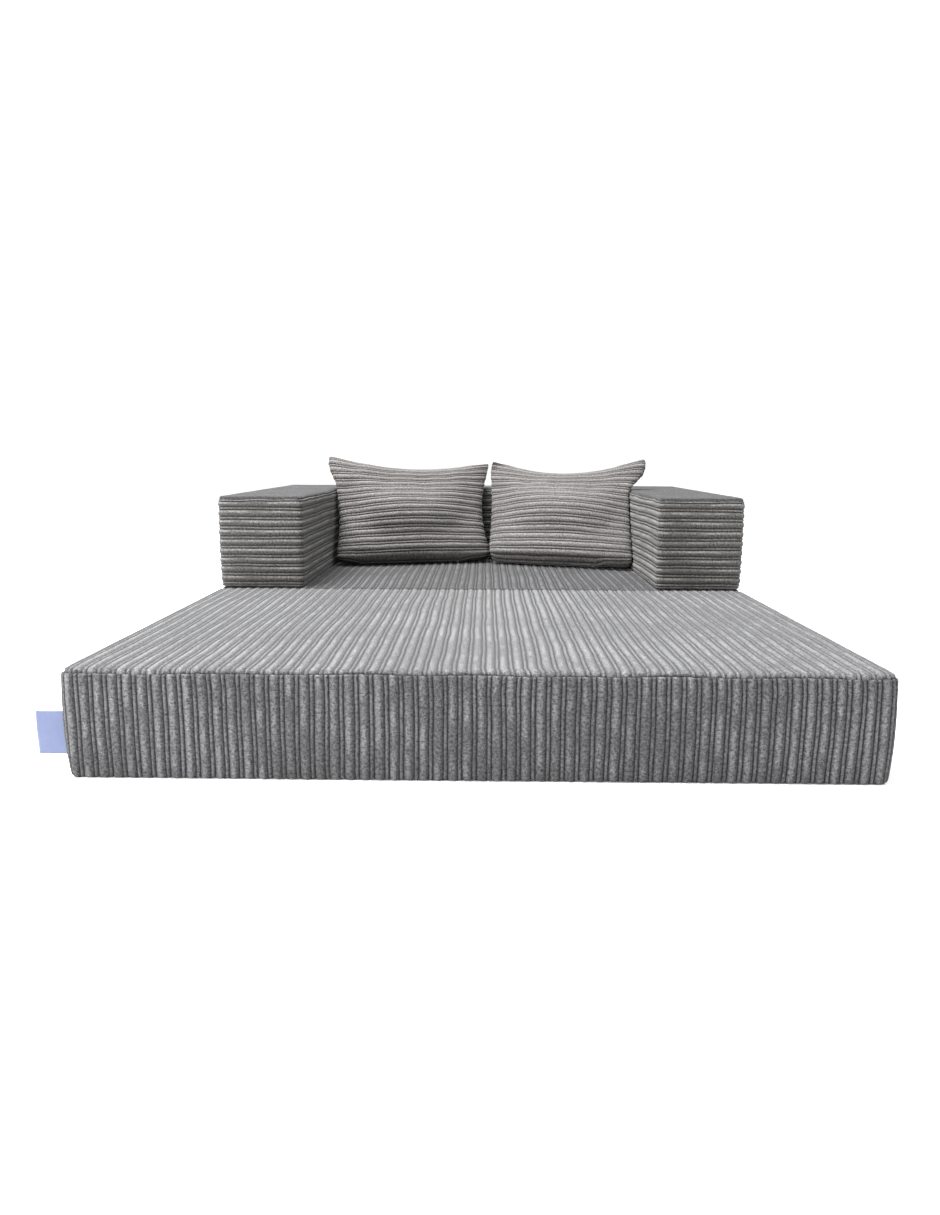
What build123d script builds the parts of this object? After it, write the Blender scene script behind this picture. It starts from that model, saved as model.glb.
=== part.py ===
from build123d import *
import math
import os

# Foam sofa bed, opened out as a bed. All sizes are in millimetres.
# The origin is on the floor, at the middle of the seat unit's underside. +Y points to the back,
# +X to the right as seen from the front, +Z up. The front mattress lies towards -Y.

# The two floor blocks
sofa_width = 1500.0
seat_depth = 1000.0
mattress_depth = 1000.0
block_height = 207.0
fold_gap = 3.0

# The arms and the back rest
arm_width = 246.0
arm_height = 261.0
back_thickness = 246.0
rest_gap = 0.5

# Cloth and foam
cover_thickness = 3.0
base_cloth_thickness = 3.0
base_margin = 15.0
sewing_clearance = 0.3
foam_clearance = 0.3

# Soft edges of the foam blocks
corner_radius = 20.0
top_edge_radius = 14.0
bottom_edge_radius = 9.0

# Hook-and-loop strips that hold the arms and the back rest down
grip_strip_width = 50.0
grip_strip_thickness = 1.5
grip_strip_end_margin = 110.0

# Cloth hinge under the seam between the two floor blocks
hinge_strip_reach = 36.0
hinge_strip_thickness = 1.2
hinge_strip_end_margin = 60.0

# Zips
zip_height = 34.0
zip_slot_width = 9.0
zip_tape_width = 17.0
zip_tape_thickness = 0.8
zip_slit_width = 0.6
zip_coil_width = 4.0
zip_coil_thickness = 1.4
zip_stop_length = 4.0
zip_stop_swell = 0.5
zip_running_clearance = 0.25
block_zip_end_margin = 120.0
pillow_zip_end_margin = 75.0

# Zip sliders and their pull tabs
slider_length = 13.0
slider_wall = 1.0
slider_plate = 1.2
bridge_width = 1.6
bridge_thickness = 1.0
pull_pin_radius = 0.6
pull_leg_width = 1.2
pull_thickness = 1.2
pull_width = 7.0
pull_length = 30.0
pull_end_radius = 3.0
pull_hole_radius = 1.6

# Sewn side tag, a folded ribbon
tag_reach = 57.0
tag_height = 77.0
tag_ribbon_thickness = 0.6
tag_fold_radius = 1.2
tag_middle_height = 71.0
tag_corner_offset = 5.0

# Loose pillows. The pair fills the seat between the arms, but for the room left beside each one.
# The foot is the stretch of the lower seam that is pressed flat.
pillow_room = 8.0
pillow_flare = 36.0
pillow_height = 412.0
pillow_front_swell = 82.0
pillow_rear_swell = 50.0
pillow_foot_depth = 24.0
pillow_arm_gap = 2.0
pillow_rest_clearance = 0.3
left_lean_angle = 22.0
left_turn_angle = 15.5
right_lean_angle = 28.0
right_turn_angle = -20.5

# Outlines of a pillow from its seam to its crown, as shares of its half sizes:
# how far out of the seam's plane, how far the corners draw in, how far the edges' middles do.
pillow_outline_shares = (
    (0.0, 0.0, 0.09),
    (0.14, 0.045, 0.10),
    (0.32, 0.12, 0.13),
    (0.52, 0.22, 0.19),
    (0.70, 0.335, 0.28),
    (0.84, 0.46, 0.395),
    (0.94, 0.60, 0.54),
    (1.0, 0.80, 0.76),
)

# Spots looked at along each side of a pillow's outlines
outline_samples = 24

# A cut runs this far past the face that it opens
cut_overrun = 20.0

# Limits of each block along X, Y and Z
half_width = sofa_width / 2
seat_front = -seat_depth / 2
seat_back = seat_depth / 2
mattress_rear = seat_front - fold_gap
mattress_front = mattress_rear - mattress_depth
rest_top = block_height + arm_height
arm_inner = half_width - arm_width
back_front = seat_back - back_thickness
back_half = arm_inner - rest_gap
pillow_bottom_width = arm_inner - pillow_room
pillow_top_width = pillow_bottom_width + pillow_flare
seat_limits = ((-half_width, half_width), (seat_front, seat_back), (0, block_height))
front_limits = ((-half_width, half_width), (mattress_front, mattress_rear), (0, block_height))
left_arm_limits = ((-half_width, -arm_inner), (seat_front, seat_back), (block_height, rest_top))
right_arm_limits = ((arm_inner, half_width), (seat_front, seat_back), (block_height, rest_top))
back_limits = ((-back_half, back_half), (back_front, seat_back), (block_height, rest_top))

# Heights of a zip's layers, measured outward from the cloth's outer face
tape_face = zip_tape_thickness - cover_thickness
coil_face = tape_face + zip_coil_thickness
plate_floor = coil_face + zip_running_clearance
plate_face = plate_floor + slider_plate
pin_height = plate_face + zip_running_clearance + pull_pin_radius
bridge_room = pull_pin_radius + zip_running_clearance
bridge_reach = bridge_room + bridge_thickness


def slab(across, along, rise):
    """A box between a pair of limits along each of X, Y and Z."""
    limits = (across, along, rise)
    size = [high - low for low, high in limits]
    middle = [(high + low) / 2 for low, high in limits]
    return Location(middle) * Box(*size)


def both_ways(reach):
    """A pair of limits as far to each side of zero."""
    return (-reach, reach)


def moved_in(limits, distance):
    """A pair of limits moved in from both ends."""
    return (limits[0] + distance, limits[1] - distance)


# Foam blocks

def soft_block(limits, skin, floor_skin):
    """A block with soft edges that lies inside the given limits by the skin's thickness."""
    across, along, rise = limits
    inner_rise = (rise[0] + floor_skin, rise[1] - skin)
    block = slab(moved_in(across, skin), moved_in(along, skin), inner_rise)
    block = fillet(block.edges().filter_by(Axis.Z), corner_radius - skin)
    block = fillet(block.faces().sort_by(Axis.Z)[-1].edges(), top_edge_radius - skin)
    return fillet(block.faces().sort_by(Axis.Z)[0].edges(), bottom_edge_radius - skin)


def base_panel(limits, margin, rise):
    """A level panel with round corners, as far inside the block's sides as the margin."""
    across, along, _ = limits
    panel = slab(moved_in(across, margin), moved_in(along, margin), rise)
    return fillet(panel.edges().filter_by(Axis.Z), corner_radius)


def block_cover(limits):
    """The sewn cloth shell of a block, open underneath where the base cloth goes."""
    floor = limits[2][0]
    shell = soft_block(limits, 0, 0)
    shell -= soft_block(limits, cover_thickness, base_cloth_thickness)
    opening = (floor - cut_overrun, floor + base_cloth_thickness)
    return shell - base_panel(limits, base_margin, opening)


def block_core(limits):
    """The foam block inside the cover."""
    clearance = foam_clearance + cover_thickness
    return soft_block(limits, clearance, foam_clearance + base_cloth_thickness)


def base_cloth(limits):
    """The flat cloth that closes the cover underneath."""
    floor = limits[2][0]
    rise = (floor, floor + base_cloth_thickness)
    return base_panel(limits, base_margin + sewing_clearance, rise)


# Hook-and-loop strips

def grip_plan(limits):
    """Where a strip lies under its block: the long way of the block, in the middle."""
    across, along, _ = limits
    reach = [(high - low) / 2 for low, high in (across, along)]
    middle = [(high + low) / 2 for low, high in (across, along)]
    half = [grip_strip_width / 2, grip_strip_width / 2]
    longer = reach.index(max(reach))
    half[longer] = reach[longer] - grip_strip_end_margin
    return [(middle[i] - half[i], middle[i] + half[i]) for i in (0, 1)]


def grip_strip(limits, rise):
    across, along = grip_plan(limits)
    return slab(across, along, rise)


def grip_pocket(limits, rise):
    """The shallow pocket that a strip is sewn into."""
    across, along = grip_plan(limits)
    return slab(moved_in(across, -sewing_clearance), moved_in(along, -sewing_clearance), rise)


# Zips. Each lies in its own frame: X along the zip, Z out of the cloth, the origin at its middle
# on the cloth's outer face.

def zip_cut(length):
    """The slot in the cloth, and the shallow seat behind it for the tapes."""
    slot_reach = length / 2 + zip_stop_length + sewing_clearance
    slot_rise = (-cover_thickness - sewing_clearance, cut_overrun)
    slot = slab(both_ways(slot_reach), both_ways(zip_slot_width / 2), slot_rise)
    seat_reach = slot_reach + zip_stop_length
    seat_half = zip_tape_width / 2 + sewing_clearance
    seat_rise = (-cover_thickness - sewing_clearance, tape_face)
    return slot + slab(both_ways(seat_reach), both_ways(seat_half), seat_rise)


def zip_tape(length):
    """The two woven tapes, side by side behind the slot."""
    reach = length / 2 + 2 * zip_stop_length
    rise = (-cover_thickness, tape_face)
    strip = slab(both_ways(reach), (zip_slit_width / 2, zip_tape_width / 2), rise)
    return Compound([strip, mirror(strip, Plane.XZ)])


def zip_coil(length):
    """The closed row of teeth with a stop at each end."""
    rise = (tape_face, coil_face)
    half = zip_coil_width / 2
    coil = slab(both_ways(length / 2), both_ways(half), rise)
    stop_span = (length / 2, length / 2 + zip_stop_length)
    stop = slab(stop_span, both_ways(half + zip_stop_swell), rise)
    return coil + stop + mirror(stop, Plane.YZ)


def zip_slider():
    """The slider's plate and two flanges over the teeth, with the bridge for a pull tab."""
    inner = zip_coil_width / 2 + zip_running_clearance
    outer = inner + slider_wall
    span = both_ways(slider_length / 2)
    body = slab(span, both_ways(outer), (plate_floor, plate_face))
    flange = slab(span, (inner, outer), (tape_face + zip_running_clearance, plate_floor))
    body += flange + mirror(flange, Plane.XZ)
    crown = pin_height + bridge_reach
    arch = slab(both_ways(bridge_reach), both_ways(bridge_width / 2), (plate_face, crown))
    eye_rise = (plate_face, pin_height + bridge_room)
    eye = slab(both_ways(bridge_room), both_ways(bridge_width), eye_rise)
    return body + (arch - eye)


def zip_pull():
    """The pull tab: a pin through the bridge, two legs beside it and a flat tab."""
    leg_inner = bridge_width / 2 + zip_running_clearance
    leg_outer = leg_inner + pull_leg_width
    rise = (pin_height - pull_thickness / 2, pin_height + pull_thickness / 2)
    window = math.hypot(bridge_reach, bridge_reach) + zip_running_clearance
    pin = Pos(0, 0, pin_height) * Rot(90, 0, 0) * Cylinder(pull_pin_radius, 2 * leg_outer)
    leg = slab((-pull_pin_radius, window), (leg_inner, leg_outer), rise)
    tab = slab((window, pull_length), both_ways(pull_width / 2), rise)
    tab = fillet(tab.edges().filter_by(Axis.Z).sort_by(Axis.X)[-2:], pull_end_radius)
    hole_spot = (pull_length - pull_width / 2, 0, pin_height)
    tab -= Location(hole_spot) * Cylinder(pull_hole_radius, cut_overrun)
    return pin + leg + mirror(leg, Plane.XZ) + tab


def zip_pieces(name, place, length, with_pull):
    """The nodes of one zip, with its slider at the closed end."""
    parked = place * Location((length / 2 - slider_length / 2 - zip_running_clearance, 0, 0))
    pieces = {
        name + "_zip_tape": place * zip_tape(length),
        name + "_zip_coil": place * zip_coil(length),
        name + "_zip_slider": parked * zip_slider(),
    }
    if with_pull:
        pieces[name + "_zip_pull"] = parked * zip_pull()
    return pieces


def wall_frame(spot, along, outward):
    return Plane(origin=spot, x_dir=along, z_dir=outward).location


# Side tag

def tag_plan():
    """The tag's middle along Y and the X of the cloth that it is sewn into."""
    return (mattress_front + corner_radius + tag_corner_offset, -half_width)


def side_tag():
    """Two plies of ribbon that meet at the outer end in a round fold."""
    middle, wall = tag_plan()
    outer = wall - tag_reach
    rise = (tag_middle_height - tag_height / 2, tag_middle_height + tag_height / 2)
    plies = (middle - tag_ribbon_thickness, middle + tag_ribbon_thickness)
    ribbon = slab((outer + tag_fold_radius, wall + cover_thickness), plies, rise)
    fold_place = Location((outer + tag_fold_radius, middle, tag_middle_height))
    fold = fold_place * Cylinder(tag_fold_radius, tag_height)
    return ribbon + fold


def tag_slit():
    """The open stretch of the seam that holds the tag."""
    middle, wall = tag_plan()
    plies = both_ways(tag_ribbon_thickness + sewing_clearance)
    rise = both_ways(tag_height / 2 + sewing_clearance)
    span = (-cut_overrun, cover_thickness + sewing_clearance)
    return Location((wall, middle, tag_middle_height)) * slab(span, plies, rise)


# Cloth hinge

def hinge_strip(along):
    """A flat strip of cloth under the blocks' edges."""
    reach = half_width - hinge_strip_end_margin
    return slab(both_ways(reach), along, (0, hinge_strip_thickness))


def hinge_recess():
    """Room for the whole strip in the cloth of both blocks."""
    across = both_ways(half_width - hinge_strip_end_margin + sewing_clearance)
    along = (
        mattress_rear - hinge_strip_reach - sewing_clearance,
        seat_front + hinge_strip_reach + sewing_clearance,
    )
    return slab(across, along, (-cut_overrun, hinge_strip_thickness + sewing_clearance))


# Pillows. Each is drawn in its own frame: X along its width, Y up its height, Z out of its front.

def pillow_outline(skin, swell, shares):
    """One outline parallel to the seam's plane: four corners joined by four arcs."""
    out, corner, edge = shares
    low = pillow_bottom_width / 2 - skin
    high = pillow_top_width / 2 - skin
    rise = pillow_height / 2 - skin
    side = (low + high) / 2 * (1 - edge)
    corners = [
        (-low * (1 - corner), -rise * (1 - corner)),
        (low * (1 - corner), -rise * (1 - corner)),
        (high * (1 - corner), rise * (1 - corner)),
        (-high * (1 - corner), rise * (1 - corner)),
    ]
    middles = [(0, -rise * (1 - edge)), (side, 0), (0, rise * (1 - edge)), (-side, 0)]
    arcs = []
    for i, middle in enumerate(middles):
        arcs.append(ThreePointArc(corners[i], middle, corners[(i + 1) % len(corners)]))
    return Location((0, 0, out * swell)) * make_face(Wire(arcs))


def pillow_body(skin):
    """The stuffed shape inside the outer faces by the skin's thickness, with its flat foot."""
    front = [pillow_outline(skin, pillow_front_swell - skin, row) for row in pillow_outline_shares]
    rear = [pillow_outline(skin, skin - pillow_rear_swell, row) for row in pillow_outline_shares]
    body = loft(rear[:0:-1] + front, ruled=True)
    foot = pillow_foot_face() + skin
    ground = (foot - pillow_foot_depth - cut_overrun, foot)
    reach = both_ways(pillow_top_width)
    return body - slab(reach, ground, both_ways(pillow_front_swell + cut_overrun))


def pillow_foot_face():
    return pillow_foot_depth - pillow_height / 2


def pillow_spots(tilt):
    """Spots all over a tilted pillow's outlines."""
    spots = []
    for swell in (pillow_front_swell, -pillow_rear_swell):
        for shares in pillow_outline_shares:
            for edge in pillow_outline(0, swell, shares).edges():
                steps = range(outline_samples + 1)
                spots += [(tilt * Pos(edge @ (i / outline_samples))).position for i in steps]
    return spots


def pillow_place(lean_angle, turn_angle, arm_side):
    """Stands a pillow on the seat, leaned on the back rest, beside the arm on that side."""
    tilt = Rot(0, 0, turn_angle) * Rot(90 - lean_angle, 0, 0)
    foot = tilt * pillow_body(0).faces().sort_by(Axis.Y)[0]
    floor = foot.bounding_box().min.Z
    beside = [spot for spot in pillow_spots(tilt) if floor < spot.Z < floor + arm_height]
    side_reach = max(arm_side * spot.X for spot in beside)
    rear_reach = max(spot.Y for spot in beside)
    x = arm_side * (arm_inner - pillow_arm_gap - side_reach)
    y = back_front - pillow_rest_clearance - rear_reach
    z = block_height + pillow_rest_clearance - floor
    return Pos(x, y, z) * tilt


def pillow_pieces(name, place):
    """Cover, filling and zip of one pillow."""
    zip_length = pillow_bottom_width - 2 * pillow_zip_end_margin
    zip_spot = (0, pillow_foot_face(), 0)
    zip_place = Plane(origin=zip_spot, x_dir=(1, 0, 0), z_dir=(0, -1, 0)).location
    cover = pillow_body(0) - pillow_body(cover_thickness) - zip_place * zip_cut(zip_length)
    pieces = {
        name + "_cover": place * cover,
        name + "_filling": place * pillow_body(cover_thickness + foam_clearance),
    }
    pieces.update(zip_pieces(name, place * zip_place, zip_length, False))
    return pieces


# Assembly

def covered_block(name, limits, zip_place, zip_length, with_pull):
    """Cover, foam core, base cloth and zip of one block."""
    pieces = {
        name + "_cover": block_cover(limits) - zip_place * zip_cut(zip_length),
        name + "_core": block_core(limits),
        name + "_base_cloth": base_cloth(limits),
    }
    pieces.update(zip_pieces(name, zip_place, zip_length, with_pull))
    return pieces


def floor_blocks():
    """The seat unit's floor block and the front mattress, joined by the cloth hinge."""
    rear_wall = wall_frame((0, seat_back, zip_height), (-1, 0, 0), (0, 1, 0))
    mattress_middle = (mattress_front + mattress_rear) / 2
    side_wall = wall_frame((half_width, mattress_middle, zip_height), (0, 1, 0), (1, 0, 0))
    seat_zip_length = sofa_width - 2 * block_zip_end_margin
    mattress_zip_length = mattress_depth - 2 * block_zip_end_margin
    pieces = covered_block("seat", seat_limits, rear_wall, seat_zip_length, True)
    pieces.update(covered_block("mattress", front_limits, side_wall, mattress_zip_length, True))
    for name in ("seat_cover", "seat_base_cloth", "mattress_cover", "mattress_base_cloth"):
        pieces[name] -= hinge_recess()
    fold_line = (seat_front + mattress_rear) / 2
    pieces["hinge_strip_seat_side"] = hinge_strip((fold_line, seat_front + hinge_strip_reach))
    far_edge = mattress_rear - hinge_strip_reach
    pieces["hinge_strip_mattress_side"] = hinge_strip((far_edge, fold_line))
    pieces["mattress_cover"] -= tag_slit()
    pieces["side_tag"] = side_tag()
    return pieces


def rest_blocks():
    """The arms and the back rest."""
    height = block_height + zip_height
    arm_zip_length = seat_depth - 2 * block_zip_end_margin
    back_zip_length = 2 * (back_half - block_zip_end_margin)
    left_wall = wall_frame((-half_width, 0, height), (0, -1, 0), (-1, 0, 0))
    right_wall = wall_frame((half_width, 0, height), (0, 1, 0), (1, 0, 0))
    rear_wall = wall_frame((0, seat_back, height), (-1, 0, 0), (0, 1, 0))
    pieces = covered_block("left_arm", left_arm_limits, left_wall, arm_zip_length, False)
    pieces.update(covered_block("right_arm", right_arm_limits, right_wall, arm_zip_length, False))
    pieces.update(covered_block("back", back_limits, rear_wall, back_zip_length, True))
    return pieces


def add_grip_strips(pieces):
    """Loop strips sunk in the seat's top, hook strips sunk in the base cloths that stand on them."""
    loop_rise = (block_height - grip_strip_thickness, block_height)
    hook_rise = (block_height, block_height + grip_strip_thickness)
    rests = {"left_arm": left_arm_limits, "right_arm": right_arm_limits, "back": back_limits}
    for name, limits in rests.items():
        loop_cut = (loop_rise[0], loop_rise[1] + cut_overrun)
        hook_cut = (hook_rise[0] - cut_overrun, hook_rise[1])
        pieces["seat_cover"] -= grip_pocket(limits, loop_cut)
        pieces[name + "_base_cloth"] -= grip_pocket(limits, hook_cut)
        pieces[name + "_loop_strip"] = grip_strip(limits, loop_rise)
        pieces[name + "_hook_strip"] = grip_strip(limits, hook_rise)


def main():
    pieces = floor_blocks()
    pieces.update(rest_blocks())
    add_grip_strips(pieces)
    left_place = pillow_place(left_lean_angle, left_turn_angle, -1)
    right_place = pillow_place(right_lean_angle, right_turn_angle, 1)
    pieces.update(pillow_pieces("left_pillow", left_place))
    pieces.update(pillow_pieces("right_pillow", right_place))
    os.makedirs("parts", exist_ok=True)
    for name, shape in pieces.items():
        export_step(shape, "parts/" + name + ".step")


main()
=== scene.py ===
import math
from functools import partial

import bmesh
import bpy
from mathutils import Matrix, Vector, noise


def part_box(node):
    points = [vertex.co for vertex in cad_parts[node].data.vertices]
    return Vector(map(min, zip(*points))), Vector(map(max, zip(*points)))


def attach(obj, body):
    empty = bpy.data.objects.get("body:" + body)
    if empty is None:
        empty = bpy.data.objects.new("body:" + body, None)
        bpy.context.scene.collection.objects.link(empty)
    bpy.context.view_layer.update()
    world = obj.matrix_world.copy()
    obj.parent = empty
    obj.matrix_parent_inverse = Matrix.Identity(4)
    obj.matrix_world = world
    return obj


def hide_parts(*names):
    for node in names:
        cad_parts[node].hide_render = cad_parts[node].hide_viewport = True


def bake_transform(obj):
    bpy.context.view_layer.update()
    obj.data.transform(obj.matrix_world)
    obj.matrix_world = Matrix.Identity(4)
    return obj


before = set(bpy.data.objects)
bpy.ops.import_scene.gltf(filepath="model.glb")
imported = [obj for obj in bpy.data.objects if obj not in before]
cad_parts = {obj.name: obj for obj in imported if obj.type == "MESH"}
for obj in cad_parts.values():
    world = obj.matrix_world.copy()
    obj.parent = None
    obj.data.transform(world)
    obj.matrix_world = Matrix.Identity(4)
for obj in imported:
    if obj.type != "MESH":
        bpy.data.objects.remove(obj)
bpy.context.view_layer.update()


# Photographer's camera: a wide lens on a low stand, 0.58 m above the floor, in front of the opened bed.
# It looks a little down, and it is turned and rolled by less than a degree.

camera_spot = Vector((0.0107, -3.0551, 0.5842))
camera_dip = math.radians(9.625)
camera_turn = math.radians(0.863)
camera_roll = math.radians(0.216)

camera_data = bpy.data.cameras.new("camera")
camera_data.sensor_width = 36
camera_data.lens = 26.66
camera = bpy.data.objects.new("camera", camera_data)
bpy.context.scene.collection.objects.link(camera)
aim = Matrix.Rotation(camera_turn, 4, "Z") @ Matrix.Rotation(math.pi / 2 - camera_dip, 4, "X")
camera.matrix_world = Matrix.Translation(camera_spot) @ aim @ Matrix.Rotation(camera_roll, 4, "Z")
bpy.context.scene.camera = camera


# Front mattress cover: plush fancy corduroy, a wide and a narrow wale in turn, sewn from a top panel
# and one band that goes round the four sides. The wales run front to back on the top and upright on
# the band, and each one ends rounded where it is caught in the seam.

# The wales, and the mesh lines that draw them across and at their ends. A rate is a number in one metre.
wale_repeat = 0.0265
wide_wale = 0.0170
wide_fullness = 3.2
narrow_start = 0.0184
narrow_wale = 0.0066
narrow_fullness = 2.6
narrow_height = 0.72
pile_height = 0.0031
pile_lump = 0.0005
lump_rates = (45, 14)
wale_end = 0.0065
wale_bends = (0, 0.0013, 0.0040, 0.0085, 0.0130, 0.0157, 0.0170, 0.0184, 0.0196, 0.0217, 0.0238, 0.0250)
end_lines = (0, 0.001, 0.0024, 0.0042, 0.0065, 0.0100)
line_spacing = 0.022

# The sewn cover over its foam: seams, rolled edges, the cloth's wander and slack, and the zip's slot
seam_depth = 0.0024
seam_reach = 0.0030
seam_ease = 0.030
seam_waver = 0.0034
waver_rate = 9
seam_scallop = 0.0007
block_corner = 0.020
bottom_roll = 0.0075
top_roll = 0.016
hem_width = 0.007
seam_angle = math.radians(28)
seam_inset = top_roll * (1 - math.cos(seam_angle))
slow_drift, slow_rates = 0.0050, (6, 3)
quick_drift, quick_rates = 0.0016, (24, 13)
cloth_slack = 0.0012
slack_rate = 5
slack_reach = 0.03
first_wale = 0.0088
zip_line = 0.034
zip_gap = 0.0045


def wale_relief(across):
    """Height of the pile over the ground cloth, as a share, at a place across the wales."""
    place = across % wale_repeat
    if place < wide_wale:
        return 1 - abs(2 * place / wide_wale - 1) ** wide_fullness
    return narrow_height * max(0, 1 - abs(2 * (place - narrow_start) / narrow_wale - 1) ** narrow_fullness)


def lines_across(low, high):
    """Mesh lines at every bend of the wales between low and high."""
    margin = 0.0004
    first, last = math.floor(low / wale_repeat), math.ceil(high / wale_repeat)
    lines = [k * wale_repeat + bend for k in range(first, last) for bend in wale_bends]
    return [low, *(line for line in lines if low + margin < line < high - margin), high]


def lines_along(low, high, spacing, extra=()):
    """Mesh lines along the wales, close together at both ends, where the pile rounds down to the seam."""
    closest = 0.0003
    room = high - low - 2 * end_lines[-1]
    count = max(1, round(room / spacing))
    middle = [low + end_lines[-1] + room * k / count for k in range(1, count)]
    lines = sorted([low + e for e in end_lines] + middle + [high - e for e in end_lines] + list(extra))
    return [line for k, line in enumerate(lines) if k == 0 or line - lines[k - 1] > closest]


def cut_cloth(across_lines, along_lines):
    """A flat cut of cloth, its mesh lines where they are given. Corduroy has its wales along y."""
    cloth = bmesh.new()
    columns, rows = len(across_lines) - 1, len(along_lines) - 1
    bmesh.ops.create_grid(cloth, x_segments=columns, y_segments=rows, size=0.5)
    for v in cloth.verts:
        v.co.x = across_lines[round((v.co.x + 0.5) * columns)]
        v.co.y = along_lines[round((v.co.y + 0.5) * rows)]
    return cloth


def smooth(cloth):
    """Shades all faces of a piece of cloth smooth."""
    for face in cloth.faces:
        face.smooth = True


def keep_grain(cloth):
    """Keeps each corner's place on the flat cut, in metres, as the UV map that the material reads."""
    smooth(cloth)
    grain = cloth.loops.layers.uv.new("grain")
    for face in cloth.faces:
        for loop in face.loops:
            loop[grain].uv = loop.vert.co.xy


def raise_pile(cloth, seam_gap, ground=-pile_height, pinched=seam_depth):
    """Lifts the wales over the ground cloth. seam_gap gives the way to the nearest sewn edge."""
    across_rate, along_rate = lump_rates
    for v in cloth.verts:
        x, y = v.co.xy
        gap = max(0, seam_gap(x, y))
        fullness = math.sqrt(1 - (1 - min(1, gap / wale_end)) ** 2)
        pinch = pinched * max(0, 1 - gap / seam_reach) ** 2
        lump = pile_lump * noise.noise(Vector((x * across_rate, y * along_rate, 3)))
        v.co.z = ground + (pile_height + lump) * wale_relief(x) * fullness - pinch


def cut_slot(cloth, low, high):
    """Opens a zip's slot between two corners of the flat cut."""
    across, along = Vector((1, 0, 0)), Vector((0, 1, 0))
    for spot, way in ((low, across), (low, along), (high, across), (high, along)):
        whole = cloth.verts[:] + cloth.edges[:] + cloth.faces[:]
        bmesh.ops.bisect_plane(cloth, geom=whole, dist=0.00001, plane_co=spot, plane_no=way)
    middles = [(face, face.calc_center_median()) for face in cloth.faces]
    inside = [face for face, spot in middles if low.x < spot.x < high.x and low.y < spot.y < high.y]
    bmesh.ops.delete(cloth, geom=inside, context="FACES")


def slot_gap(x, y, low, high):
    """The way from a spot on the flat cut to the zip's slot."""
    return math.hypot(max(low.x - x, x - high.x, 0), max(low.y - y, y - high.y, 0))


def turn_in_slot(cloth, low, high):
    """Turns the slot's cut edges in towards the zip's tape."""
    reach, depth = 0.0002, 0.0012
    edges = [
        e for e in cloth.edges
        if e.is_boundary and all(slot_gap(v.co.x, v.co.y, low, high) < reach for v in e.verts)
    ]
    turned = bmesh.ops.extrude_edge_only(cloth, edges=edges)["geom"]
    corners = [g for g in turned if isinstance(g, bmesh.types.BMVert)]
    bmesh.ops.translate(cloth, vec=(0, 0, -depth), verts=corners)


def ramp(value):
    """A smooth step from 0 to 1."""
    value = min(1, max(0, value))
    return value * value * (3 - 2 * value)


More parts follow.
